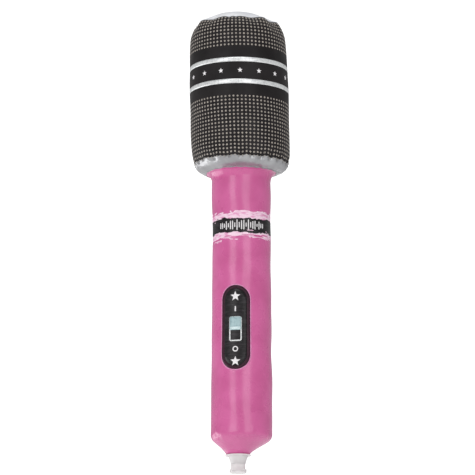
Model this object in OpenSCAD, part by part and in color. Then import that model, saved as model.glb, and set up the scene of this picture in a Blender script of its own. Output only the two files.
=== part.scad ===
// Inflatable toy microphone, blown up. Film panels welded edge to edge hold the air.
// A push-in valve with a hinged stopper closes the lower end.
// Millimetres, +Z up along the microphone, origin on the axis at the middle of the grip.

/* [Handle] */
// Radius of the blown-up handle tube
handle_r = 16.5; // [15:0.25:18]
// Length of the straight part of the handle
handle_len = 145; // [120:1:170]
// How far the top of the handle flares out to meet the neck
flare_out = 2.2; // [1.5:0.1:3]
// Height of that flare
flare_h = 4.9; // [4:0.1:8]
// Height of the cone that closes the lower end
end_h = 9.4; // [7:0.1:11]

/* [Head] */
// Radius of the head at its fattest
head_r = 28; // [26:0.25:31]
// Height of the head sleeve between its welds
head_h = 81; // [70:1:95]
// Radius of the long arc that makes the sleeve a barrel
barrel_arc = 770; // [500:10:1500]
// Height of the neck panel under the head
neck_h = 4.2; // [4:0.1:8]
// Height of the domed panel on top
dome_h = 8; // [5:0.1:10]

/* [Film] */
// Thickness of the film
film_t = 0.3; // [0.2:0.05:0.4]
// How far a weld reaches to each side of its seam line
weld_reach = 0.9; // [0.7:0.1:1.4]
// Height of the spare clear film left hanging round the end cone
margin_h = 8; // [3:0.1:9]
// How far that film stands off the cone
margin_gap = 1.5; // [1:0.1:2]
// Thickness of one layer of ink
ink_t = 0.08; // [0.05:0.01:0.1]

/* [Prints] */
// Number of stars round the head
star_count = 16; // [12:1:20]
// Outer radius of a star on the head
star_r = 1.6; // [1.2:0.1:2]
// Height of each bright ring
band_h = 2.5; // [1.5:0.1:3]
// Distance between the rows of dots
dot_pitch = 2.1; // [2:0.1:3]
// Width of the switch panel, measured round the handle
switch_w = 16; // [14:0.1:18]
// Height of the switch panel
switch_h = 46.8; // [44:0.1:54]
// Turn of the switch panel from the front, in degrees
switch_turn = -12; // [-20:1:20]

/* [Valve] */
// Sideways shift of the valve from the axis
valve_shift = -2; // [-2.5:0.1:0]
// Outer radius of the valve flange
flange_r = 7.4; // [7:0.1:8]
// Radius of the hole that the valve is pushed in through
port_r = 5; // [4.9:0.05:5.3]
// Radius of the stem's rim and of the stopper's cap
rim_r = 4.7; // [4.5:0.05:4.8]
// Outer radius of the stem
stem_r = 4; // [3.8:0.05:4.2]
// Radius of the stem's bore
bore_r = 2.6; // [2.5:0.05:2.8]

/* [Hidden] */
$fn = 96;
eps = 0.01;

// Heights, from the bottom up
handle_top = handle_len / 2;
handle_bottom = -handle_len / 2;
end_z = handle_bottom - end_h;
neck_z = handle_top + flare_h;
head_z0 = neck_z + neck_h;
head_z1 = head_z0 + head_h;
head_top = head_z1 + dome_h;

// Head shoulders: how far each one rounds in, over what height, and how much of it is used
top_in = 6;
top_h = 10.5;
top_used = 0.93;
low_in = 3.3;
low_h = 12;
low_used = 0.84;
top_start = head_z1 - top_used * top_h;
low_start = head_z0 + low_used * low_h;

// Where things stand on the head, as shares of its height
fat_share = 0.41;
lower_dots_share = 0.437;
ring_share = 0.599;
upper_dots_share = 0.772;
fat_z = head_z0 + fat_share * head_h;
ring_mid = head_z0 + ring_share * head_h;
upper_dots_z = head_z0 + upper_dots_share * head_h;
lower_dots_z = head_z0 + lower_dots_share * head_h;

// Where the prints stand on the handle, as shares of its length from the middle
brush_share = 0.307;
switch_share = -0.09;
brush_mid = brush_share * handle_len;
switch_mid = switch_share * handle_len;
marks_mid = switch_mid - 1;

// Print sizes
ring_gap = 12.6;
brush_h = 8.6;
splash_h = 18;
frame_w = 7.5;
frame_h = 13.8;
frame_line = 0.9;
switch_star_r = 2.8;
switch_star_z = 18.2;

// Valve levels, measured outward from the flat middle of the end panel
end_flat_r = port_r + abs(valve_shift) + 0.9;
flange_t = 0.6;
web_t = 0.5;
web_foot = 5.2;
stem_in = 0.8;
stem_out = 9;
rim_t = 1;
cap_gap = 0.1;
cap_t = 1;
hinge_y = 6.6;
hinge_out = stem_out + cap_gap + 0.4;
bead_r = 0.45;
pin_len = 4;
pin_gap = 0.1;
flap_t = 0.3;
flap_r = 3.4;
ear_w = 3.2;
ear_t = 0.8;
ear_root = 0.5;

// Shapes of the outlines: powers of the end cone and the flare, the neck's arc in degrees, and how
// much of the weld's reach the top of the head sleeve leaves free
end_power = 1.1;
flare_power = 1.5;
neck_from = 82;
neck_to = 8;
top_reach = 0.7 * weld_reach;
dots_clear = 1.2 * weld_reach;

// Outlines: points [radius, z] along the outside of the film, from the valve port to the top

function rounding(t) = t <= 0 ? 0 : 1 - sqrt(1 - pow(min(t, 1), 2));
function head_radius(z) =
    head_r - pow(z - fat_z, 2) / (2 * barrel_arc)
    - top_in * rounding((z - top_start) / top_h)
    - low_in * rounding((low_start - z) / low_h);
// A share from 0 to 1 that takes small steps near both ends
function eased(i, n) = (1 - cos(180 * i / n)) / 2;

neck_r = handle_r + flare_out;
head_r0 = head_radius(head_z0);
head_r1 = head_radius(head_z1);

function end_radius(drop) =
    handle_r - (handle_r - end_flat_r) * pow(drop / end_h, end_power);

end_outline = [
    [end_flat_r, end_z],
    for (i = [1:12])
        let (drop = (end_h - weld_reach) * (1 - i / 12) + weld_reach)
        [end_radius(drop), handle_bottom - drop]];
handle_outline = [
    [handle_r, handle_bottom + weld_reach],
    for (i = [0:8])
        let (t = i / 8 * (1 - weld_reach / flare_h))
        [handle_r + flare_out * pow(t, flare_power), handle_top + flare_h * t]];
neck_outline = [
    for (i = [0:14])
        let (a = neck_from + (neck_to - neck_from) * i / 14)
        [neck_r + (head_r0 - neck_r) * cos(a), head_z0 - neck_h * sin(a)]];
head_outline = [
    for (i = [0:40])
        let (z = head_z0 + weld_reach + (head_h - weld_reach - top_reach) * eased(i, 40))
        [head_radius(z), z]];
dome_outline = [
    for (i = [0:14])
        let (r = (head_r1 - weld_reach) * (1 - i / 14))
        [r, head_top - dome_h * pow(r / head_r1, 2)]];

function unit(v) = v / norm(v);
function outward(d) = unit([d[1], -d[0]]);
function before(p, i) = i > 0 ? p[i - 1] : p[0];
function after(p, i) =
    i < len(p) - 1 ? p[i + 1] : p[i][0] == 0 ? [-p[i - 1][0], p[i - 1][1]] : p[i];
function normal(p, i) = outward(after(p, i) - before(p, i));

// The strip between two offsets from an outline; 0 is the outside of the film, inward is negative
module strip(p, low, high) {
    last = len(p) - 1;
    polygon([
        for (i = [0:last]) p[i] + high * normal(p, i),
        for (i = [last:-1:0]) p[i] + low * normal(p, i)]);
}

module film(p, low = -film_t, high = 0)
    rotate_extrude()
        strip(p, low, high);

// A weld ring over the seam point between the end of one outline and the start of the next
module weld(p, seam, q) {
    a = len(p) - 1;
    proud = 0.15;
    deep = film_t + 0.15;
    side = outward(q[0] - p[a]);
    rotate_extrude()
        polygon([
            p[a] + proud * normal(p, a), seam + proud * side, q[0] + proud * normal(q, 0),
            q[0] - deep * normal(q, 0), seam - deep * side, p[a] - deep * normal(p, a)]);
}

// A flat slab that keeps only what lies between two heights
module slab(low, high)
    translate([0, 0, low])
        cylinder(r = 2 * head_r, h = high - low);

// Film panels

module head_top_panel() color("gainsboro") film(dome_outline);

module head_sleeve() color([0.15, 0.14, 0.14]) film(head_outline);

module neck_panel() color("silver") film(neck_outline);

module handle_sleeve() color([0.83, 0.35, 0.58]) film(handle_outline);

// The end panel runs on flat inside the cone, as far as the valve port
module handle_end_panel()
    color([0.83, 0.35, 0.58])
        difference() {
            film(concat([[0, end_z]], end_outline));
            translate([valve_shift, 0, end_z - 1])
                cylinder(r = port_r, h = 3);
        }

// Welds

module head_top_weld() color("gainsboro") weld(head_outline, [head_r1, head_z1], dome_outline);

module head_bottom_weld() color("silver") weld(neck_outline, [head_r0, head_z0], head_outline);

module neck_weld() color("silver") weld(handle_outline, [neck_r, neck_z], neck_outline);

module handle_end_weld()
    color([0.95, 0.93, 0.94]) {
        weld(end_outline, [handle_r, handle_bottom], handle_outline);
        margin();
    }

// The spare film under the weld, which leaves the handle's edge and hangs outside the cone
module margin() {
    height = min(margin_h, end_h - flange_t);
    steps = 12;
    function gap(t) = margin_gap * (1 - pow(1 - t, 3)) - film_t / 2;
    line = [
        for (i = [0:steps])
            let (t = i / steps, drop = height * t)
            [end_radius(drop) + gap(t), handle_bottom - drop]];
    rotate_extrude()
        polygon([
            for (i = [0:steps]) line[i] + [film_t, 0],
            for (i = [steps:-1:0]) line[i]]);
}

// The lapped edge of a rolled-up sleeve, inside it at the back
module side_weld(p, low, high) {
    lap_w = 4;
    intersection() {
        film(p, low = -2 * film_t, high = -film_t);
        translate([-lap_w / 2, 0, low])
            cube([lap_w, 2 * head_r, high - low]);
    }
}

module head_side_weld()
    color([0.15, 0.14, 0.14])
        side_weld(head_outline, head_z0 + 3, head_z1 - 3);

module handle_side_weld()
    color([0.83, 0.35, 0.58])
        side_weld(handle_outline, handle_bottom + 3, handle_top);

// Prints on the head

module head_ink(low, high)
    intersection() {
        film(head_outline, low = 0, high = ink_t);
        slab(low, high);
    }

module ring_prints()
    color("white")
        for (side = [-1, 1])
            let (mid = ring_mid + side * ring_gap / 2)
            head_ink(mid - band_h / 2, mid + band_h / 2);

// The rows of dots, each as a thin ring
module dot_rows(low, high) {
    rows = floor((high - low) / dot_pitch);
    for (i = [0:rows - 1])
        let (z = low + (i + 0.5) * dot_pitch)
        head_ink(z - dot_pitch / 4, z + dot_pitch / 4);
}

module upper_dot_print()
    color([0.45, 0.43, 0.41])
        dot_rows(upper_dots_z, head_z1 - dots_clear);

module lower_dot_print()
    color([0.45, 0.43, 0.41])
        dot_rows(head_z0 + dots_clear, lower_dots_z);

module star(r)
    polygon([
        for (i = [0:9])
            let (a = 90 + 36 * i, d = i % 2 == 0 ? r : 0.45 * r)
            [d * cos(a), d * sin(a)]]);

// Pushes a flat shape out of the axis towards the front, at a turn round the axis
module facing(turn, z)
    rotate([0, 0, turn])
        translate([0, 0, z])
            rotate([90, 0, 0])
                linear_extrude(2 * head_r)
                    children();

module star_prints()
    color("white")
        for (i = [0:star_count - 1])
            intersection() {
                head_ink(ring_mid - 2 * star_r, ring_mid + 2 * star_r);
                facing(360 * i / star_count, ring_mid)
                    star(star_r);
            }

// Prints on the handle, in layers

module handle_ink(layer, low, high)
    translate([0, 0, low])
        difference() {
            cylinder(r = handle_r + (layer + 1) * ink_t, h = high - low);
            translate([0, 0, -eps])
                cylinder(r = handle_r + layer * ink_t, h = high - low + 2 * eps);
        }

module splash_print()
    color([0.97, 0.85, 0.91])
        for (side = [-1, 1])
            let (mid = brush_mid + side * (brush_h + splash_h) / 4, h = (splash_h - brush_h) / 2)
            handle_ink(0, mid - h / 2, mid + h / 2);

module brush_print()
    color([0.13, 0.12, 0.13])
        handle_ink(0, brush_mid - brush_h / 2, brush_mid + brush_h / 2);

// A row of level bars, like a sound meter
module wave_print() {
    bar_w = 0.6;
    bar_step = 1.3;
    bar_count = 10;
    bar_turn = 109;
    bar_start = 40;
    bar_fade = 6.3;
    function share(i) = 0.14 + 0.62 * abs(cos(bar_turn * i + bar_start)) * cos(bar_fade * i);
    color("white")
        for (i = [-bar_count:bar_count])
            intersection() {
                handle_ink(1, brush_mid - brush_h / 2, brush_mid + brush_h / 2);
                facing(i * bar_step / handle_r * 180 / PI, brush_mid)
                    square([bar_w, brush_h * share(i)], center = true);
            }
}

// A flat shape printed on the switch panel, in the layer over it
module switch_ink(layer, z)
    intersection() {
        handle_ink(layer, switch_mid - switch_h / 2 - 1, switch_mid + switch_h / 2 + 1);
        facing(switch_turn, z)
            children();
    }

module stadium(w, h) {
    square([w, h - w], center = true);
    for (side = [-1, 1])
        translate([0, side * (h - w) / 2])
            circle(r = w / 2);
}

module switch_panel_print() {
    chord = 2 * handle_r * sin(switch_w / handle_r * 90 / PI);
    color([0.13, 0.12, 0.13])
        switch_ink(0, switch_mid)
            stadium(chord, switch_h);
}

module switch_frame_print()
    color([0.75, 0.73, 0.75])
        switch_ink(1, marks_mid)
            difference() {
                square([frame_w, frame_h], center = true);
                square([frame_w - 2 * frame_line, frame_h - 2 * frame_line], center = true);
            }

module switch_slider_print()
    color([0.7, 0.82, 0.82])
        switch_ink(1, marks_mid + (frame_h / 2 - frame_line) / 2)
            square([frame_w - 2 * frame_line, frame_h / 2 - frame_line], center = true);

module switch_star_prints()
    color("white")
        for (side = [-1, 1])
            switch_ink(1, marks_mid + side * switch_star_z)
                star(switch_star_r);

// Valve: drawn pointing up from the end panel, then hung upside down under it

module valve_place()
    translate([valve_shift, 0, end_z])
        mirror([0, 0, 1])
            children();

module tube(r_out, r_in, low, high)
    rotate_extrude()
        translate([r_in, low])
            square([r_out - r_in, high - low]);

module valve_flange()
    color([0.93, 0.92, 0.92, 0.6])
        valve_place()
            tube(flange_r, port_r, 0, flange_t);

// The thin cone between flange and stem, which turns inside out when the valve is pushed in
module valve_web()
    color([0.93, 0.92, 0.92, 0.6])
        valve_place()
            rotate_extrude()
                polygon([
                    [port_r, flange_t], [port_r + web_t, flange_t],
                    [stem_r, web_foot], [stem_r, web_foot - web_t]]);

module valve_stem()
    color([0.93, 0.92, 0.92, 0.6])
        valve_place()
            difference() {
                union() {
                    tube(stem_r, bore_r, stem_in, stem_out);
                    tube(rim_r, bore_r, stem_out - rim_t, stem_out);
                    hinge_ear();
                }
                translate([-ear_w, hinge_y, hinge_out])
                    rotate([0, 90, 0])
                        cylinder(r = bead_r + pin_gap, h = 2 * ear_w);
            }

// The ear on the rim that the strap folds on
module hinge_ear() {
    ear_end = 0.6;
    translate([-ear_w / 2, stem_r - ear_root, stem_out - ear_t])
        cube([ear_w, hinge_y + ear_end - stem_r + ear_root, ear_t]);
}

// The film flap over the inner end of the stem
module valve_flap()
    color([0.93, 0.92, 0.92, 0.6])
        valve_place()
            translate([0, 0, stem_in - 0.05 - flap_t])
                cylinder(r = flap_r, h = flap_t);

module valve_strap() {
    strap_w = 2.6;
    strap_t = 0.5;
    color([0.93, 0.92, 0.92, 0.6])
        valve_place()
            difference() {
                union() {
                    translate([-strap_w / 2, 0, hinge_out - strap_t / 2])
                        cube([strap_w, hinge_y, strap_t]);
                    translate([-strap_w / 2, hinge_y, hinge_out])
                        rotate([0, 90, 0])
                            cylinder(r = bead_r, h = strap_w);
                }
                cylinder(r = rim_r, h = 2 * stem_out);
            }
}

// The stopper: its pin rounds in towards the tip, so that it swings out of the bore on the strap
module valve_plug() {
    swing_r = hinge_y + bore_r - pin_gap;
    cap_z = stem_out + cap_gap;
    tip_r = 0.5;
    tab_w = 3;
    tab_t = 0.7;
    tab_out = 2;
    color([0.93, 0.92, 0.92, 0.6])
        valve_place() {
            rotate_extrude()
                polygon([
                    [0, cap_z + cap_t], [rim_r, cap_z + cap_t], [rim_r, cap_z],
                    for (i = [0:8])
                        let (z = cap_z - (pin_len - tip_r) * i / 8)
                        [sqrt(pow(swing_r, 2) - pow(hinge_out - z, 2)) - hinge_y, z],
                    [0.7, cap_z - pin_len], [0, cap_z - pin_len]]);
            translate([-tab_w / 2, -rim_r - tab_out, cap_z + 0.15])
                cube([tab_w, tab_out + 1, tab_t]);
        }
}

head_top_panel();
head_top_weld();
head_sleeve();
head_side_weld();
head_bottom_weld();
neck_panel();
neck_weld();
handle_sleeve();
handle_side_weld();
handle_end_weld();
handle_end_panel();
ring_prints();
star_prints();
upper_dot_print();
lower_dot_print();
splash_print();
brush_print();
wave_print();
switch_panel_print();
switch_frame_print();
switch_slider_print();
switch_star_prints();
valve_flange();
valve_web();
valve_stem();
valve_flap();
valve_strap();
valve_plug();
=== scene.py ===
"""The looks of the inflatable toy microphone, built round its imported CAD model.

Every film panel is a grid of points that follows the CAD outline, with puckers from a pressure
simulation of the flat film laid over it. Prints, welds and the valve are pieces of their own.
Lengths are metres; names that end in _mm or _MM are millimetres.
"""

import math

import bmesh
import bpy
import numpy as np
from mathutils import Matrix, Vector
from mathutils.bvhtree import BVHTree


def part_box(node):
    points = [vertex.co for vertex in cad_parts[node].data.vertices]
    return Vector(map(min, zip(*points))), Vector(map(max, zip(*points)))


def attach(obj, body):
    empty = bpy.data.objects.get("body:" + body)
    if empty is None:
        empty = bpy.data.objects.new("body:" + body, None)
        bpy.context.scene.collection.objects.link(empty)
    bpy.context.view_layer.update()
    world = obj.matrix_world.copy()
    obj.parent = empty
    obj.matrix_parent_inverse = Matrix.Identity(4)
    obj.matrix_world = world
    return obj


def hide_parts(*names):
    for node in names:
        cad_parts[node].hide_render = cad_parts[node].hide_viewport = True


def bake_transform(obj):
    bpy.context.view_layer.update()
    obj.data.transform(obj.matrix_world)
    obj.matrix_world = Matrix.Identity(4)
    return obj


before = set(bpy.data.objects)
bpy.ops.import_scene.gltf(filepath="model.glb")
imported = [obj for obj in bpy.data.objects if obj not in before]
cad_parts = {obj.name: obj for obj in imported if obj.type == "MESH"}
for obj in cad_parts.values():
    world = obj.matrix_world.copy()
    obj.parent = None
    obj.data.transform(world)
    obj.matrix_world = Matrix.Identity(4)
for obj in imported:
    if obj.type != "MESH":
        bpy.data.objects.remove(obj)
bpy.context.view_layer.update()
MM = 0.001
TURN = 2 * math.pi
FRONT = -math.pi / 2  # the azimuth of -Y, where the camera stands
BACK = math.pi / 2

# ---------------------------------------------------------------- camera, light and floor

CAMERA_DISTANCE = 1.6
CAMERA_ELEVATION = -11.5
VIEW_WIDTH = 0.266  # what the picture's width spans at the microphone
AIM = Vector((-0.0023, 0, 0.0405))
FLOOR_Z = -0.42


def aimed(thing, place, target):
    """Puts a camera or light at place, looking at target."""
    thing.location = place
    thing.rotation_euler = (Vector(target) - Vector(place)).to_track_quat("-Z", "Y").to_euler()
    bpy.context.scene.collection.objects.link(thing)
    return thing


def make_camera():
    data = bpy.data.cameras.new("camera")
    data.sensor_width = 36
    data.lens = data.sensor_width * CAMERA_DISTANCE / VIEW_WIDTH
    rise = math.radians(CAMERA_ELEVATION)
    back = Vector((0, -math.cos(rise), math.sin(rise)))
    camera = aimed(bpy.data.objects.new("camera", data), AIM + CAMERA_DISTANCE * back, AIM)
    bpy.context.scene.camera = camera


def softbox(name, place, width, height, watts, target=(0, 0, 0.04)):
    data = bpy.data.lights.new(name, "AREA")
    data.shape = "RECTANGLE"
    data.size, data.size_y, data.energy = width, height, watts
    aimed(bpy.data.objects.new(name, data), place, target)


def make_studio():
    scene = bpy.context.scene
    scene.view_settings.view_transform = "Standard"
    scene.world = bpy.data.worlds.new("studio")
    scene.world.use_nodes = True
    sky = scene.world.node_tree.nodes["Background"]
    sky.inputs["Color"].default_value = (1, 1, 1, 1)
    sky.inputs["Strength"].default_value = 0.44
    softbox("key", (-0.8, -1.2, 0.5), 0.6, 1.0, 4.1)
    softbox("front", (0.75, -2.0, 0.2), 1.1, 1.6, 10.8)
    softbox("top", (0.0, -0.3, 1.3), 0.6, 0.6, 3.6, (0, 0, 0.15))
    softbox("low_left", (-0.6, 0.25, -0.36), 0.75, 0.75, 3.8, (0, 0, 0.1))
    corners = ((-1, -1), (1, -1), (1, 1), (-1, 1))
    reach = 3
    stage_sheet("floor", [(x * reach, y * reach, FLOOR_Z) for x, y in corners], 0.3)
    # Far enough back that a camera behind the microphone stands in front of it
    half, far, top = 0.45, 2.8, 1.2
    wall = [(x * half, far, top if up > 0 else FLOOR_Z) for x, up in corners]
    stage_sheet("backdrop", wall, 0.75)


def stage_sheet(name, corners, glow):
    """A flat sheet of pale paper that glows a little."""
    mesh = bpy.data.meshes.new(name)
    mesh.from_pydata(corners, [], [tuple(range(len(corners)))])
    sheet = bpy.data.objects.new(name, mesh)
    bpy.context.scene.collection.objects.link(sheet)
    white = (1, 1, 1, 1)
    paper = plain(name, (0.85, 0.85, 0.85), 0.7, emission_strength=glow, emission_color=white)
    mesh.materials.append(paper)


# ---------------------------------------------------------------- materials


def srgb(red, green, blue):
    """A colour of 0 to 255 as the linear colour that shaders use."""
    parts = [c / 255 for c in (red, green, blue)]
    return tuple(c / 12.92 if c <= 0.04045 else ((c + 0.055) / 1.055) ** 2.4 for c in parts)


def plain(name, colour, roughness, **sockets):
    """A material with one Principled shader, and the sockets named by keyword set on it."""
    material = bpy.data.materials.new(name)
    material.use_nodes = True
    shader = material.node_tree.nodes["Principled BSDF"]
    shader.inputs["Base Color"].default_value = (*colour, 1)
    shader.inputs["Roughness"].default_value = roughness
    for key, value in sockets.items():
        shader.inputs[key.replace("_", " ").title().replace("Ior", "IOR")].default_value = value
    return material


class Nodes:
    """Short calls for building one material's node tree."""

    def __init__(self, material):
        self.tree = material.node_tree
        self.shader = self.tree.nodes["Principled BSDF"]

    def add(self, kind, **settings):
        node = self.tree.nodes.new("ShaderNode" + kind)
        for key, value in settings.items():
            setattr(node, key, value)
        return node

    def link(self, source, target):
        self.tree.links.new(source, target)

    def place(self, stretch=(1, 1, 1)):
        """The point in the object's own space, in metres, stretched along each axis."""
        node = self.add("VectorMath", operation="MULTIPLY")
        self.link(self.add("TexCoord").outputs["Object"], node.inputs[0])
        node.inputs[1].default_value = stretch
        return node.outputs[0]

    def noise(self, vector, scale, detail=2.0, roughness=0.5):
        node = self.add("TexNoise")
        self.link(vector, node.inputs["Vector"])
        for key, value in (("Scale", scale), ("Detail", detail), ("Roughness", roughness)):
            node.inputs[key].default_value = value
        return node.outputs["Fac"]

    def ramp(self, value, low, high, to_low=0.0, to_high=1.0):
        """Maps low..high to to_low..to_high, smoothly, and holds the ends."""
        node = self.add("MapRange", interpolation_type="SMOOTHSTEP")
        self.link(value, node.inputs["Value"])
        ends = (("From Min", low), ("From Max", high), ("To Min", to_low), ("To Max", to_high))
        for key, number in ends:
            node.inputs[key].default_value = number
        return node.outputs["Result"]

    def mix(self, share, first, second):
        node = self.add("Mix", data_type="RGBA")
        self.link(share, node.inputs[0])
        for socket, value in ((node.inputs[6], first), (node.inputs[7], second)):
            if isinstance(value, bpy.types.NodeSocket):
                self.link(value, socket)
            else:
                socket.default_value = (*value, 1)
        return node.outputs[2]

    def bump(self, *layers):
        """Stacks (height, strength, distance) layers into the shader's normal."""
        normal = None
        for height, strength, distance in layers:
            node = self.add("Bump")
            self.link(height, node.inputs["Height"])
            node.inputs["Strength"].default_value = strength
            node.inputs["Distance"].default_value = distance
            if normal:
                self.link(normal, node.inputs["Normal"])
            normal = node.outputs["Normal"]
        self.link(normal, self.shader.inputs["Normal"])


def film(name, colour, shade, smooth=0.24, rough=0.36, waves=0.3, **sockets):
    """Blown PVC film: cloudy colour, slow waves, a fine grain, and gloss that varies a little."""
    material = plain(name, colour, smooth, **sockets)
    nodes = Nodes(material)
    place = nodes.place()
    clouds = nodes.ramp(nodes.noise(place, 75, detail=4), 0.35, 0.68)
    nodes.link(nodes.mix(clouds, colour, shade), nodes.shader.inputs["Base Color"])
    gloss = nodes.ramp(nodes.noise(place, 110, detail=3), 0.3, 0.7, smooth, rough)
    nodes.link(gloss, nodes.shader.inputs["Roughness"])
    slow = nodes.noise(nodes.place((1, 1, 0.5)), 60, detail=1)
    nodes.bump((slow, waves, 1.2 * MM), (nodes.noise(place, 1500), 0.2, 0.05 * MM))
    return material


def ink(name, colour, shade, smooth=0.3, rough=0.42, streak=(1, 1, 1), **sockets):
    """Printed ink: speckle along the squeegee's way, and a slightly uneven gloss."""
    material = plain(name, colour, smooth, **sockets)
    nodes = Nodes(material)
    speckle = nodes.ramp(nodes.noise(nodes.place(streak), 900, detail=3), 0.42, 0.66)
    nodes.link(nodes.mix(speckle, colour, shade), nodes.shader.inputs["Base Color"])
    gloss = nodes.ramp(nodes.noise(nodes.place(), 130), 0.3, 0.7, smooth, rough)
    nodes.link(gloss, nodes.shader.inputs["Roughness"])
    nodes.bump((nodes.noise(nodes.place(), 1500), 0.2, 0.04 * MM))
    return material


def clear_pvc(name, colour, rough, alpha, **sockets):
    """Soft clear vinyl, a little cloudy inside."""
    material = plain(name, colour, rough, ior=1.4, alpha=alpha, **sockets)
    nodes = Nodes(material)
    place = nodes.place()
    gloss = nodes.ramp(nodes.noise(place, 300, detail=3), 0.3, 0.7, rough, rough + 0.14)
    nodes.link(gloss, nodes.shader.inputs["Roughness"])
    nodes.bump((nodes.noise(place, 200), 0.1, 0.2 * MM), (nodes.noise(place, 1800), 0.15, 0.02 * MM))
    return material


def make_materials():
    coat = {"coat_weight": 0.3, "coat_roughness": 0.12}
    glow = {"subsurface_weight": 0.5, "subsurface_radius": (1, 1, 1), "subsurface_scale": 1.5 * MM}
    silver, silver_shade = srgb(177, 178, 180), srgb(157, 157, 160)
    bright, bright_shade = srgb(236, 238, 238), srgb(212, 214, 216)
    return {
        "frosted": film("frosted_film", srgb(240, 241, 245), srgb(222, 224, 230), 0.3, 0.45),
        "black": film("black_film", srgb(22, 19, 20), srgb(33, 30, 31), 0.44, 0.56, ior=1.3),
        "silver": film("silver_film", silver, silver_shade, 0.26, 0.38, 0.6, metallic=0.65),
        "pink": film("pink_film", srgb(211, 99, 158), srgb(201, 88, 147), 0.24, 0.36, **coat),
        "clear": clear_pvc("clear_film", srgb(226, 200, 214), 0.3, 0.05),
        "silver_ink": ink("silver_ink", bright, bright_shade, 0.28, 0.4, metallic=0.45),
        "white_ink": ink("white_ink", srgb(244, 242, 243), srgb(228, 224, 228)),
        "grey_ink": ink("grey_ink", srgb(172, 163, 154), srgb(140, 132, 126)),
        "pale_ink": ink("pale_pink_ink", srgb(247, 214, 232), srgb(228, 152, 194), streak=(0.3, 0.3, 1)),
        "black_ink": ink(
            "black_ink", srgb(20, 18, 20), srgb(44, 41, 44), streak=(0.2, 0.2, 1), specular_ior_level=0.3
        ),
        "plum_ink": ink("plum_ink", srgb(54, 14, 36), srgb(38, 12, 28), specular_ior_level=0.3),
        "rose_ink": ink("rose_ink", srgb(224, 146, 190), srgb(212, 122, 172)),
        "aqua_ink": ink("aqua_ink", srgb(168, 194, 198), srgb(150, 178, 184)),
        "aqua_light": ink("aqua_light_ink", srgb(216, 234, 236), srgb(200, 222, 226)),
        "valve": clear_pvc("valve_pvc", srgb(246, 240, 241), 0.3, 0.85, **glow),
    }


# ---------------------------------------------------------------- simulation of the blown film

SIM_ROUND = 144  # points round the simulated film
SIM_STEP_MM = 1.16  # distance between its rings


def flat_pattern(corners):
    """Rings of (radius, height) points from corner to corner of a flat pattern, and each corner's row."""
    rows, folds = [corners[0]], [0]
    for start, end in zip(corners, corners[1:]):
        steps = max(2, round(math.dist(start, end) / SIM_STEP_MM))
        start, end = np.array(start, float), np.array(end, float)
        rows += [tuple(start + (end - start) * i / steps) for i in range(1, steps + 1)]
        folds.append(len(rows) - 1)
    return np.array(rows), folds


def grid_faces(rows, columns, closed=True):
    """Quads of a grid of points, numbered row by row; a closed grid joins its last column to its first."""
    wide = columns if closed else columns - 1
    corners = ((0, 0), (1, 0), (1, 1), (0, 1))
    return [
        tuple((i + down) * columns + (j + right) % columns for down, right in corners)
        for i in range(rows - 1)
        for j in range(wide)
    ]


def lengths(line):
    """How far along a line of points each of them is."""
    return np.concatenate([[0], np.cumsum(np.linalg.norm(np.diff(line, axis=0), axis=1))])


def blow_up(flat, folds, pinned, modes, jitter, seed, stiff=0.5):
    """The (row, column, xyz) points of a flat pattern blown up with its pinned rows held, in millimetres.

    It starts with creases of size jitter along its folds, with modes[0] to modes[1] of them round it.
    """
    scale = 0.02  # millimetres to solver units, where the head is as wide as a beach ball
    frames = 40
    crease_mm = 8  # how far from a fold its creases reach
    angles = np.arange(SIM_ROUND) * TURN / SIM_ROUND
    outward = np.stack([np.cos(angles), np.sin(angles), np.full(SIM_ROUND, 0.5)], axis=1)
    level = outward * (1, 1, 0)
    rest = flat[:, None, :1] * level[None] + flat[:, None, 1:] * (0, 0, 1)
    rng = np.random.default_rng(seed)
    creases = sum(rng.normal() * np.cos(k * angles + rng.uniform(0, TURN)) for k in range(*modes)) / 4
    arc = lengths(flat)
    near = sum(np.exp(-(((arc - arc[fold]) / crease_mm) ** 2)) for fold in folds)
    start = rest + jitter * (near[:, None] * creases)[..., None] * outward

    mesh = bpy.data.meshes.new("flat_film")
    mesh.from_pydata((start.reshape(-1, 3) * scale).tolist(), [], grid_faces(len(flat), SIM_ROUND))
    sheet = bpy.data.objects.new("flat_film", mesh)
    bpy.context.scene.collection.objects.link(sheet)
    sheet.shape_key_add(name="start")
    sheet.shape_key_add(name="flat").data.foreach_set("co", (rest * scale).ravel())
    held = sheet.vertex_groups.new(name="held")
    for row in pinned:
        first = (row % len(flat)) * SIM_ROUND
        held.add(list(range(first, first + SIM_ROUND)), 1.0, "REPLACE")

    cloth = sheet.modifiers.new("Cloth", "CLOTH")
    settings = cloth.settings
    settings.quality = 8
    settings.mass = 0.2
    settings.tension_stiffness = settings.compression_stiffness = 80
    settings.shear_stiffness = 20
    settings.bending_stiffness = stiff
    settings.tension_damping = settings.compression_damping = settings.shear_damping = 15
    settings.air_damping = 2
    settings.use_pressure = True
    settings.uniform_pressure_force = 8
    settings.effector_weights.gravity = 0
    settings.vertex_group_mass = held.name
    settings.rest_shape_key = sheet.data.shape_keys.key_blocks["flat"]
    cloth.collision_settings.use_collision = False
    cloth.point_cache.frame_end = frames
    for number in range(1, frames + 1):
        bpy.context.scene.frame_set(number)
    blown = sheet.evaluated_get(bpy.context.evaluated_depsgraph_get()).data
    points = np.empty(len(flat) * SIM_ROUND * 3)
    blown.vertices.foreach_get("co", points)
    bpy.context.scene.frame_set(1)
    bpy.data.objects.remove(sheet)
    return points.reshape(len(flat), SIM_ROUND, 3) / scale


def uneven_part(points):
    """How a blown grid differs from its own mean outline: outward, upward and round, for each point."""
    radius = np.hypot(points[..., 0], points[..., 1])
    angles = np.arange(SIM_ROUND) * TURN / SIM_ROUND
    turned = np.angle(np.exp(1j * (np.arctan2(points[..., 1], points[..., 0]) - angles)))
    parts = np.stack([radius, points[..., 2], radius * turned], axis=-1)
    return parts - parts.mean(axis=1, keepdims=True)


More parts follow.
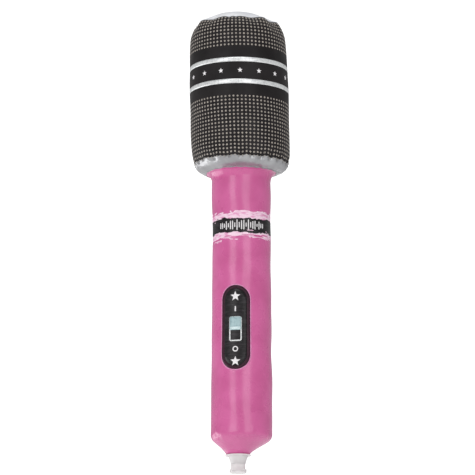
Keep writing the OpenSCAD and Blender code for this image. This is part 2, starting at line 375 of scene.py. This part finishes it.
def smooth_rows(values, positions):
    """values at fractional row positions, by a Catmull-Rom curve through the rows."""
    last = len(values) - 1
    base = np.clip(np.floor(positions).astype(int), 0, last - 1)
    t = (positions - base)[:, None, None]
    a, b, c, d = (values[np.clip(base + k, 0, last)] for k in (-1, 0, 1, 2))
    return b + 0.5 * t * (c - a + t * (2 * a - 5 * b + 4 * c - d + t * (3 * b - a - 3 * c + d)))


def smooth_round(values, columns):
    """values resampled to another number of columns round, keeping every wave in them."""
    waves = np.fft.rfft(values, axis=1)
    return np.fft.irfft(waves, columns, axis=1) * columns / values.shape[1]


def step(value, low, high):
    """0 below low, 1 above high, and smooth between."""
    t = np.clip((value - low) / (high - low), 0, 1)
    return t * t * (3 - 2 * t)


# ---------------------------------------------------------------- the film's shape

ROUND = 240  # points round a finished film panel
PANELS = {  # node: rows of points, and the stretch of the spacing curve that bunches them near seams
    "head_top_panel": (26, 0.5, 1.0),
    "head_sleeve": (92, 0.0, 1.0),
    "neck_panel": (20, 0.0, 1.0),
    "handle_sleeve": (104, 0.0, 1.0),
    "handle_end_panel": (24, 0.0, 0.5),
}
EDGE = 0.3 * MM  # a panel's cut edge, which the outline leaves out
PORT_R = 5 * MM
END_FLAT_R = 7.9 * MM
END_NARROW = 2.0 * MM  # how far the blown film draws the end cone in from its CAD outline
SLEEVE_REACH_MM = 30  # how much of each sleeve a simulation includes
LEAN = 0.024  # how far the head leans to the viewer's left, for each unit of height
TAPER = 0.0075  # how much the handle widens downward, for each unit of height
TAPER_MID = -0.003  # the height where the taper leaves the CAD radius as it is
TAPER_FADE = 0.016  # how far below the neck seam the taper takes to start
SWELL = 0.1 * MM  # how much wider the whole handle is blown
FLARE = 0.7 * MM  # how much wider still its top is blown
FLARE_FROM = 0.045  # the height where that starts
BUNCHING = 0.62  # how closely rows bunch up near a seam, below 1
FADE_MM = 8  # how far from the ends of a simulated stretch its puckers fade
VALVE = sum(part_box("valve_flange"), Vector()) / 2  # the middle of the flange


def outside(node, bunch):
    """(radius, height) points from top to bottom along the outside of a turned CAD node."""
    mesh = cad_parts[node].data
    faces = [tuple(face.vertices) for face in mesh.polygons]
    tree = BVHTree.FromPolygons([vertex.co for vertex in mesh.vertices], faces)
    low, high = (corner.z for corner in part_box(node))
    heights = high - EDGE - (high - low - 2 * EDGE) * bunch(np.linspace(0, 1, 160))
    radii = [abs(tree.ray_cast(Vector((-1, 0, h)), Vector((1, 0, 0)))[0].x) for h in heights]
    return np.column_stack([radii, heights])


def spaced(line, rows, start, end):
    """A line of points resampled by its length, with rows that bunch up near its ends."""
    arc = lengths(line)
    t = np.linspace(start, end, rows)
    share = (t - BUNCHING * np.sin(TURN * t) / TURN - start) / (end - start)
    return np.column_stack([np.interp(share * arc[-1], arc, line[:, k]) for k in (0, 1)])


def whole_outline():
    """The film's (radius, height) outline from the top's middle to the valve port, and each seam's row."""
    bunches = {"head_top_panel": lambda t: t**2, "handle_end_panel": lambda t: 1 - (1 - t) ** 2}
    lines = [outside(node, bunches.get(node, lambda t: t)) for node in PANELS]
    seams = [(above[-1] + below[0]) / 2 for above, below in zip(lines, lines[1:])]
    top = np.array([0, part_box("head_top_panel")[1].z])
    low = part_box("handle_end_panel")[0].z
    ends = [top, *seams, np.array([PORT_R, low])]
    lines[-1] = np.vstack([lines[-1], [END_FLAT_R, low]])
    rows, seam_rows = [ends[0][None]], [0]
    for node, line, first, last in zip(PANELS, lines, ends, ends[1:]):
        count, start, end = PANELS[node]
        rows.append(spaced(np.vstack([first, line, last]), count, start, end)[1:])
        seam_rows.append(seam_rows[-1] + count - 1)
    return np.vstack(rows), seam_rows


outline, seam_rows = whole_outline()
arc_mm = lengths(outline) / MM
angles = np.arange(ROUND) * TURN / ROUND


def laid_over(total, pattern, creased, pinned, knots_mm, keep, **how):
    """Adds the puckers of one simulated stretch of film to total.

    knots_mm are the places along the whole outline that the pattern's corners stand for, and keep
    says how much of the puckers stays at each.
    """
    flat, rows = flat_pattern(pattern)
    blown = blow_up(flat, [rows[k] for k in creased], pinned, **how)
    uneven = smooth_round(uneven_part(blown), ROUND)
    inside = (arc_mm >= knots_mm[0]) & (arc_mm <= knots_mm[-1])
    positions = np.interp(arc_mm[inside], knots_mm, rows)
    fade = step(arc_mm[inside], knots_mm[0], knots_mm[0] + FADE_MM)
    fade = fade * (1 - step(arc_mm[inside], knots_mm[-1] - FADE_MM, knots_mm[-1]))
    fade = fade * np.maximum(0, np.interp(arc_mm[inside], knots_mm, keep))
    total[inside] += smooth_rows(uneven, positions) * fade[:, None, None]


def make_puckers():
    """(row, column, outward-upward-round) moves of the film in millimetres, from the three simulations."""
    moves = np.zeros((len(outline), ROUND, 3))
    start, top, low, neck, end, port = arc_mm[seam_rows]
    head_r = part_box("head_sleeve")[1].x / MM
    handle_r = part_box("handle_end_weld")[1].x / MM
    reach = SLEEVE_REACH_MM
    laid_over(
        moves, [(1, 0), (head_r - 0.5, 0), (head_r, -0.5), (head_r, -reach)], [1], [-1],
        [start + 1, top - 0.3, top + 0.3, top + reach], (0.5, 0.5, 0.5, 0.35),
        modes=(8, 15), jitter=1.0, seed=3,
    )
    laid_over(
        moves, [(head_r, reach), (head_r, 0), (handle_r, 0), (handle_r, -reach)], [1, 2], [0, -1],
        [low - reach, low, neck, neck + reach], (0.4, 1.0, 0.4, -1.2),
        modes=(14, 30), jitter=0.5, seed=5,
    )
    laid_over(
        moves, [(handle_r, reach), (handle_r, 0), (1, 0)], [1], [0],
        [end - reach, end, port], (0.2, 0.35, 0.7),
        modes=(6, 15), jitter=0.5, seed=8,
    )
    return moves


def slow_waves(rng, count, size):
    """A gentle unevenness of the whole film, in metres, as a sum of slow waves round it and along it."""
    along = outline[:, 1][:, None]
    total = np.zeros((len(outline), ROUND))
    for _ in range(count):
        turns, length, phase = rng.integers(1, 5), rng.uniform(0.02, 0.06), rng.uniform(0, TURN)
        total += np.cos(turns * angles[None] + along / length * TURN + phase)
    return total * size / math.sqrt(count)


def lean_arm(height):
    """How far above the bend of the neck a height is, growing smoothly from nothing."""
    bend, soft = 0.068, 0.012
    return soft * np.log1p(np.exp((height - bend) / soft))


def cone_share():
    """How far down the end cone each row is: 0 on the handle and above, 1 at the flat end."""
    top, low = outline[seam_rows[4], 1], outline[-1, 1]
    return np.clip((top - outline[:, 1]) / (top - low), 0, 1)


def blown_radius():
    """The outline's radius with the handle's slight taper, the flare at its top and the narrower cone."""
    radius, height = outline.T
    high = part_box("handle_sleeve")[1].z
    flare = SWELL + FLARE * step(height, FLARE_FROM, high - 4 * MM)
    grown = radius + step(-height, -high, -high + TAPER_FADE) * (TAPER * (TAPER_MID - height) + flare)
    end = seam_rows[4]
    stretch = (grown[end] / radius[end] - 1) * step(radius, END_FLAT_R, radius[end])
    flat = np.clip((radius - PORT_R) / (END_FLAT_R - PORT_R), 0, 1)
    cone = radius * (1 + stretch) - END_NARROW * step(cone_share(), 0.1, 0.8) * flat
    rounds = 6  # of smoothing, so that the cone's corners are soft
    for _ in range(rounds):
        cone[end + 1:-1] = (cone[end:-2] + cone[end + 1:-1] + cone[end + 2:]) / 3
    return np.where(np.arange(len(radius)) > end, cone, grown)


def make_skin():
    """The film's points, as rows from the top down and columns round from +X."""
    moves = make_puckers() * MM
    radius, height = outline.T
    soft = np.minimum(1, radius / (8 * MM))[:, None]
    waves = slow_waves(np.random.default_rng(4), 14, 0.16 * MM)
    size = blown_radius()[:, None] + moves[..., 0] + soft * waves
    turned = angles[None] + moves[..., 2] / np.maximum(radius, MM)[:, None]
    calm = step(cone_share(), 0.8, 1.0)
    to_valve = step(cone_share(), 0.0, 1.0)
    x = size * np.cos(turned) + (VALVE.x * to_valve - LEAN * lean_arm(height))[:, None]
    z = height[:, None] + moves[..., 1] * (1 - calm)[:, None]
    return np.stack([x, size * np.sin(turned), z], axis=-1)


def grid_normals(points):
    """Outward unit normals of a grid that is closed round its columns."""
    down = np.gradient(points, axis=0)
    along = np.roll(points, -1, axis=1) - np.roll(points, 1, axis=1)
    normals = np.cross(down, along)
    return normals / np.maximum(np.linalg.norm(normals, axis=-1, keepdims=True), 1e-12)


skin = make_skin()
skin_normals = grid_normals(skin)


def on_film(angle, height, lift=0.0):
    """Points at those azimuths and CAD heights on the film, raised off it by lift."""
    angle, height = np.broadcast_arrays(angle, height)
    row = np.interp(-height, -outline[:, 1], np.arange(len(outline)))
    column = (angle % TURN) / TURN * ROUND
    i, j = np.floor(row).astype(int), np.floor(column).astype(int)
    down, right = (row - i)[..., None], (column - j)[..., None]
    total = 0
    for di, wi in ((0, 1 - down), (1, down)):
        for dj, wj in ((0, 1 - right), (1, right)):
            at = (np.minimum(i + di, len(outline) - 1), (j + dj) % ROUND)
            total = total + wi * wj * (skin[at] + lift * skin_normals[at])
    return total


def along_film(height, distances):
    """The CAD heights at those distances up the film from a height."""
    arc = lengths(outline)
    start = np.interp(-height, -outline[:, 1], arc)
    return np.interp(start - distances, arc, outline[:, 1])


def radius_at(height):
    """The CAD radius of the film at a height."""
    return np.interp(-height, -outline[:, 1], outline[:, 0])


# ---------------------------------------------------------------- pieces


def piece(name, points, faces, material, nodes):
    """A mesh piece of the film or on it, which stands for its CAD nodes."""
    mesh = bpy.data.meshes.new(name)
    mesh.from_pydata(np.asarray(points).reshape(-1, 3).tolist(), [], faces)
    bm = bmesh.new()
    bm.from_mesh(mesh)
    bmesh.ops.remove_doubles(bm, verts=bm.verts, dist=1e-6)
    bm.to_mesh(mesh)
    bm.free()
    return finished(mesh, material, nodes, "air_body")


def finished(mesh, material, nodes, body):
    mesh.polygons.foreach_set("use_smooth", [True] * len(mesh.polygons))
    mesh.materials.append(material)
    made = bpy.data.objects.new(mesh.name, mesh)
    bpy.context.scene.collection.objects.link(made)
    if nodes:
        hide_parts(*nodes)
    if body:
        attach(made, body)
    return made


def thicken(made, thickness):
    """Gives a print or lap its edge, down into the film below it."""
    solid = made.modifiers.new("edge", "SOLIDIFY")
    solid.thickness = thickness
    solid.offset = -1
    solid.use_rim_only = True


def make_panels(materials):
    looks = {
        "head_top_panel": ("frosted", "frosted_film", 0.9),
        "head_sleeve": ("black", "black_film", 0.97),
        "neck_panel": ("silver", "silver_film", 0.97),
        "handle_sleeve": ("pink", "pink_film", 1.0),
        "handle_end_panel": ("pink", "pink_film", 0.97),
    }
    for (node, (material, slot, fill)), first, last in zip(looks.items(), seam_rows, seam_rows[1:]):
        name = node.replace("panel", "film").replace("sleeve", "film")
        points = skin[first:last + 1]
        made = piece(name, points, grid_faces(len(points), ROUND), materials[material], [node])


# Welds


def fin(name, row, directions, widths, thickness, material, node):
    """A strip of welded film that stands out from a seam, with a rounded rim."""
    seam = skin[row]
    along = np.roll(seam, -1, axis=0) - np.roll(seam, 1, axis=0)
    side = np.cross(along, directions)
    side /= np.linalg.norm(side, axis=1, keepdims=True)
    section = [(-0.2, -1), (0.85, -1), (1, -0.4), (1, 0.4), (0.85, 1), (-0.2, 1), (-0.2, -1)]
    rings = [
        seam + directions * (share * widths)[:, None] + side * rise * thickness / 2
        for share, rise in section
    ]
    return piece(name, np.stack(rings), grid_faces(len(rings), ROUND), material, [node])


def crease_directions(row):
    """The way out of a seam between the films above and below it."""
    out = skin_normals[row - 2] + skin_normals[row + 2]
    return out / np.linalg.norm(out, axis=1, keepdims=True)


def make_welds(materials):
    _, top, low, neck, _, _ = seam_rows
    for name, row, width, material, slot, node in (
        ("head_top_fin", top, 0.5, "frosted", "frosted_film", "head_top_weld"),
        ("head_bottom_fin", low, 0.25, "silver", "silver_film", "head_bottom_weld"),
        ("neck_fin", neck, 0.25, "silver", "silver_film", "neck_weld"),
    ):
        widths = np.full(ROUND, width * MM)
        fin(name, row, crease_directions(row), widths, 0.35 * MM, materials[material], node)
    make_margin(materials["clear"])
    make_lap("head_side_weld", materials["black"])
    make_lap("handle_side_weld", materials["pink"])


def make_margin(material):
    """The spare clear film under the end weld, which hangs rippled round the cone, wider to the right."""
    end = seam_rows[4]
    rng = np.random.default_rng(12)
    ripple = sum(rng.normal() * np.cos(k * angles + rng.uniform(0, TURN)) for k in range(3, 14)) / 4
    gap, more_on_right, ripple_size = 2.0, 0.9, 0.3  # millimetres
    stand_off = (gap + more_on_right * np.cos(angles) + ripple_size * ripple) * MM
    share = cone_share()
    hem = 0.88  # how far down the cone the margin ends
    rows = np.arange(end, np.searchsorted(share, hem))
    spread = 1 - (1 - share[rows] / share[rows[-1]]) ** 3
    way = np.stack([np.cos(angles), np.sin(angles), 0 * angles], axis=1)
    points = skin[rows] + (0.1 * MM + spread[:, None] * stand_off[None])[..., None] * way[None]
    faces = grid_faces(len(rows), ROUND)
    made = piece("handle_end_margin", points, faces, material, ["handle_end_weld"])
    thicken(made, 0.25 * MM)


def make_lap(node, material):
    """The lapped edge of a rolled-up sleeve, down the back."""
    low, high = (corner.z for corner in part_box(node))
    half_width = 2 * MM
    heights = np.linspace(high, low, round((high - low) / (1.5 * MM)))
    across = np.linspace(half_width, -half_width, 9)
    azimuths = BACK - across[None] / radius_at(heights)[:, None]
    lift = 0.16 * MM - 0.06 * MM * (across / half_width) ** 2
    points = on_film(azimuths, heights[:, None], lift[None, :, None])
    faces = grid_faces(*points.shape[:2], closed=False)
    thicken(piece(node.replace("weld", "lap"), points, faces, material, [node]), 0.3 * MM)


# ---------------------------------------------------------------- prints

INK_LIFT = 0.07 * MM
RING_MID = sum(corner.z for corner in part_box("ring_prints")) / 2
BAND_H = 2.5 * MM
DOT_PITCH = 2.1 * MM
DOT_COLUMNS = 78
STARS = 16
SWITCH_ANGLE = FRONT - math.radians(12)
SWITCH_W = 16 * MM


def ring_points(sides, radius_x, radius_y, phase=0.0):
    """Points round an ellipse."""
    t = phase + np.arange(sides) * TURN / sides
    return np.column_stack([radius_x * np.cos(t), radius_y * np.sin(t)])


def star_points(radius, waist=0.45):
    """A five-pointed star, point up."""
    t = math.pi / 2 + np.arange(10) * TURN / 10
    reach = radius * np.where(np.arange(10) % 2, waist, 1)
    return np.column_stack([reach * np.cos(t), reach * np.sin(t)])


def rounded_box(width, height, corner, count):
    """count points round a rectangle with round corners; a corner of half its width makes a stadium."""
    points = []
    for k, (right, up) in enumerate(((1, 1), (-1, 1), (-1, -1), (1, -1))):
        t = (k + np.linspace(0, 1, 12)) * math.pi / 2
        x = right * (width / 2 - corner) + corner * np.cos(t)
        y = up * (height / 2 - corner) + corner * np.sin(t)
        points += list(zip(x, y))
    return even(np.array(points), count)


def even(points, count):
    """A closed outline with that many evenly spaced points, which starts at the same place."""
    closed = np.vstack([points, points[:1]])
    arc = lengths(closed)
    t = np.arange(count) * arc[-1] / count
    return np.column_stack([np.interp(t, arc, closed[:, k]) for k in (0, 1)])


def filled(points, shares):
    """Loops that shrink an outline towards its middle, for a shape wide enough to wrap round the film."""
    middle = points.mean(axis=0)
    return [middle + (points - middle) * share for share in shares] + [middle[None]]


def prints(name, shapes, material, nodes, lift=INK_LIFT):
    """One ink layer of flat shapes, each wrapped on the film round its own place.

    A shape is (azimuth, height, loops): outlines from outside in. One loop is filled by one face, and
    a last loop of one point closes the shape at its middle.
    """
    points, faces, total = [], [], 0
    for azimuth, height, loops in shapes:
        flat, count = np.vstack(loops), len(loops[0])
        points.append(on_film(azimuth + flat[:, 0] / radius_at(height), height + flat[:, 1], lift))
        if len(loops) == 1:
            faces.append(tuple(range(total, total + count)))
        for k, inner in enumerate(loops[1:]):
            a = total + k * count
            for j in range(count):
                after = (j + 1) % count
                if len(inner) == 1:
                    faces.append((a + j, a + after, a + count))
                else:
                    faces.append((a + j, a + after, a + count + after, a + count + j))
        total += len(flat)
    made = piece(name, np.vstack(points), faces, material, nodes)
    thicken(made, 0.1 * MM)


def make_head_prints(materials):
    low, high = (corner.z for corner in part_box("ring_prints"))
    bands = [
        on_film(angles[None], np.linspace(top, top - BAND_H, 4)[:, None], INK_LIFT)
        for top in (high, low + BAND_H)
    ]
    one = grid_faces(4, ROUND)
    faces = one + [tuple(k + 4 * ROUND for k in face) for face in one]
    made = piece("ring_inks", bands, faces, materials["silver_ink"], ["ring_prints"])
    thicken(made, 0.1 * MM)

    star = even(star_points(1.5 * MM), 40)
    first = FRONT + math.radians(1.3)
    stars = [(first + TURN * k / STARS, RING_MID, filled(star, (1, 0.5))) for k in range(STARS)]
    prints("star_inks", stars, materials["white_ink"], ["star_prints"])

    dot = ring_points(8, 0.58 * MM, 0.55 * MM, math.pi / 8)
    columns = FRONT + TURN * (np.arange(DOT_COLUMNS) + 0.5) / DOT_COLUMNS
    upper = along_film(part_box("upper_dot_print")[0].z + 0.5 * MM, np.arange(9) * DOT_PITCH)
    lower = along_film(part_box("lower_dot_print")[1].z - 0.5 * MM, -np.arange(17) * DOT_PITCH)
    for node, heights in (("upper_dot_print", upper), ("lower_dot_print", lower)):
        shapes = [(azimuth, height, [dot]) for height in heights for azimuth in columns]
        prints(node.replace("print", "inks"), shapes, materials["grey_ink"], [node])


# The brush stripe and its splashes have torn edges, cut from a field by marching squares


def value_noise(rng, u, v, cell_u, cell_v, columns):
    """Smooth noise of 0 to 1 over u and v, which repeats after that many cells of u."""
    table = rng.random((64, columns))
    i, j = np.floor(v / cell_v).astype(int), np.floor(u / cell_u).astype(int)
    down, right = step(v / cell_v - i, 0, 1), step(u / cell_u - j, 0, 1)
    a, b, c, d = (table[(i + di) % 64, (j + dj) % columns] for di in (0, 1) for dj in (0, 1))
    return (a * (1 - right) + b * right) * (1 - down) + (c * (1 - right) + d * right) * down


def rough_noise(seed, u, v, cell_u, cell_v, around, layers=3):
    """Several layers of value noise, each half as coarse and half as strong as the one before."""
    rng = np.random.default_rng(seed)
    total, weight = 0, 0
    for k in range(layers):
        columns = max(1, round(around / cell_u * 2**k))
        total = total + value_noise(rng, u, v, around / columns, cell_v / 2**k, columns) / 2**k
        weight += 0.5**k
    return total / weight


def cut_out(field, heights, azimuths, lift):
    """Points and faces on the film of the part of a grid where field is above 0."""
    rows, columns = field.shape
    index, places, faces = {}, [], []

    def vertex(key, place):
        if key not in index:
            index[key] = len(places)
            places.append(place)
        return index[key]

    corners = ((0, 0), (1, 0), (1, 1), (0, 1))
    for i in range(rows - 1):
        for j in range(columns - 1):
            face = []
            for (di, dj), (ni, nj) in zip(corners, corners[1:] + corners[:1]):
                a, b = (i + di, j + dj), (i + ni, j + nj)
                if field[a] > 0:
                    face.append(vertex(a, a))
                if (field[a] > 0) != (field[b] > 0):
                    t = field[a] / (field[a] - field[b])
                    place = (a[0] + (b[0] - a[0]) * t, a[1] + (b[1] - a[1]) * t)
                    face.append(vertex((min(a, b), max(a, b)), place))
            if len(face) > 2:
                faces.append(tuple(face))
    row, column = np.array(places).T
    height = np.interp(row, np.arange(rows), heights)
    azimuth = np.interp(column, np.arange(columns), azimuths)
    return on_film(azimuth, height, lift), faces


BRUSH_MID = sum(corner.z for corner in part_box("brush_print")) / 2
BRUSH_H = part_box("brush_print")[1].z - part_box("brush_print")[0].z
SPLASH_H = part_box("splash_print")[1].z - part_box("splash_print")[0].z
GRIP_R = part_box("handle_end_weld")[1].x


def band_field(u, v, around, seed, half, wander, tear, dry):
    """Above 0 inside a brushed band: its middle wanders, its edges are torn, and it has dry streaks."""
    middle = (rough_noise(seed, u, 0 * v, 18 * MM, MM, around, 2) - 0.5) * 2 * wander
    edge = rough_noise(seed + 1, u, np.sign(v) * 5 * MM, 2.6 * MM, MM, around, 4)
    inside = half + (edge - 0.5) * 2 * tear - np.abs(v - middle)
    streaks = rough_noise(seed + 2, u, v, 5 * MM, 0.55 * MM, around, 2)
    worn = dry * step(np.abs(v - middle) / half, 0.35, 1)
    return np.minimum(inside, (streaks - worn) * MM)


def make_brush(materials):
    around = TURN * GRIP_R
    seam_gap = 2.2 * MM / GRIP_R
    azimuths = np.linspace(BACK + seam_gap, BACK + TURN - seam_gap, 330)
    reach = SPLASH_H * 0.68  # room for the torn edges
    heights = np.linspace(BRUSH_MID + reach, BRUSH_MID - reach, 66)
    u, v = np.meshgrid(azimuths * GRIP_R, heights - BRUSH_MID)
    splash = band_field(u, v, around, 21, SPLASH_H / 2 - MM, 0.9 * MM, 2.6 * MM, 0.5)
    brush = band_field(u, v, around, 31, BRUSH_H / 2 - 0.2 * MM, 0.45 * MM, 0.9 * MM, 0.36)
    for name, field, material, slot, layer, node in (
        ("splash_inks", splash, "pale_ink", "pale_pink_ink", 1, "splash_print"),
        ("brush_inks", brush, "black_ink", "black_ink", 2, "brush_print"),
    ):
        points, faces = cut_out(field, heights, azimuths, layer * INK_LIFT)
        thicken(piece(name, points, faces, materials[material], [node]), 0.12 * MM)

    bars = []
    for k in range(-10, 11):
        share = 0.14 + 0.62 * abs(math.cos(1.9 * k + 0.7)) * math.cos(0.11 * k)
        bar = rounded_box(0.6 * MM, BRUSH_H * share, 0.29 * MM, 24)
        bars.append((FRONT + k * 1.3 * MM / GRIP_R, BRUSH_MID, [bar]))
    prints("wave_inks", bars, materials["white_ink"], ["wave_print"], 3 * INK_LIFT)


def make_switch(materials):
    """The printed switch. Its ink layers lie one on another, a higher level further off the film."""

    def layer(level, name, material, slot, nodes, *places):
        shapes = [(SWITCH_ANGLE, height, loops) for height, loops in places]
        prints(name, shapes, materials[material], nodes, level * INK_LIFT)

    low, high = (corner.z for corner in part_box("switch_panel_print"))
    middle, tall, wide = (low + high) / 2, high - low, SWITCH_W

    def stadium(grow):
        return rounded_box(wide + 2 * grow, tall + 2 * grow, wide / 2 + grow, 120)

    outline_loops = [stadium(0.75 * MM), stadium(0)]
    rim = [stadium(0.1 * MM), stadium(-1.9 * MM)]
    panel = filled(stadium(-1.8 * MM), (1, 0.86, 0.7, 0.52, 0.34, 0.17))
    layer(1, "switch_outline_inks", "rose_ink", "pale_pink_ink", [], (middle, outline_loops))
    layer(2, "switch_rim_inks", "plum_ink", "black_ink", [], (middle, rim))
    layer(3, "switch_panel_inks", "black_ink", "black_ink", ["switch_panel_print"], (middle, panel))

    low, high = (corner.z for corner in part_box("switch_frame_print"))
    middle, tall, wide, line = (low + high) / 2, high - low, 7.0 * MM, 0.7 * MM
    outer = rounded_box(wide, tall, 1.2 * MM, 80)
    inner = rounded_box(wide - 2 * line, tall - 2 * line, 0.5 * MM, 80)
    slider = filled(rounded_box(wide - 0.5 * MM, 0.54 * tall, 0.8 * MM, 48), (1, 0.5))
    shine = filled(rounded_box(wide - 1.4 * MM, 1.5 * MM, 0.4 * MM, 48), (1, 0.5))
    slider_mid, shine_mid = high - 0.28 * tall, high - 0.47 * tall
    outlined = (middle, [outer, inner])
    layer(4, "switch_frame_inks", "silver_ink", "silver_ink", ["switch_frame_print"], outlined)
    layer(5, "switch_slider_inks", "aqua_ink", "aqua_ink", ["switch_slider_print"], (slider_mid, slider))
    layer(6, "switch_shine_inks", "aqua_light", "aqua_ink", [], (shine_mid, shine))

    low, high = (corner.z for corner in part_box("switch_star_prints"))
    star = filled(even(star_points(2.9 * MM, 0.42), 60), (1, 0.6, 0.3))
    stars = [(high - 2.8 * MM, star), (low + 2.4 * MM, star)]
    layer(4, "switch_star_inks", "white_ink", "white_ink", ["switch_star_prints"], *stars)
    bar = [rounded_box(0.7 * MM, 3 * MM, 0.3 * MM, 24)]
    ring = [ring_points(28, radius, radius) for radius in (1.55 * MM, 0.95 * MM)]
    away = 11.2 * MM  # from the frame's middle to each mark
    layer(4, "switch_mark_inks", "white_ink", "white_ink", [], (middle + away, bar), (middle - away, ring))


# ---------------------------------------------------------------- valve


def rounded_copy(node, material, edge, body=None):
    """A copy of a CAD node with its flat faces joined up and its edges rounded."""
    mesh = bpy.data.meshes.new(node.replace("valve", "soft_valve"))
    bm = bmesh.new()
    bm.from_mesh(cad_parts[node].data)
    bmesh.ops.remove_doubles(bm, verts=bm.verts, dist=1e-6)
    bmesh.ops.dissolve_limit(bm, angle_limit=math.radians(1), verts=bm.verts, edges=bm.edges)
    sharp = [
        line for line in bm.edges
        if len(line.link_faces) == 2 and line.calc_face_angle() > math.radians(25)
    ]
    bmesh.ops.bevel(
        bm, geom=sharp, offset=edge, segments=3, profile=0.5, affect="EDGES", clamp_overlap=True
    )
    bm.to_mesh(mesh)
    bm.free()
    return finished(mesh, material, [node], body)


def make_valve(materials):
    soft = materials["valve"]
    rounded_copy("valve_flange", soft, 0.2 * MM, "air_body")
    rounded_copy("valve_stem", soft, 0.18 * MM, "valve_stem")
    rounded_copy("valve_flap", soft, 0.1 * MM, "valve_flap")
    rounded_copy("valve_plug", soft, 0.22 * MM, "valve_plug")
    rounded_copy("valve_strap", soft, 0.15 * MM, "valve_plug")
    web = rounded_copy("valve_web", soft, 0.1 * MM)
    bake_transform(web)


make_camera()
looks = make_materials()
make_panels(looks)
make_welds(looks)
make_head_prints(looks)
make_brush(looks)
make_switch(looks)
make_valve(looks)
make_studio()
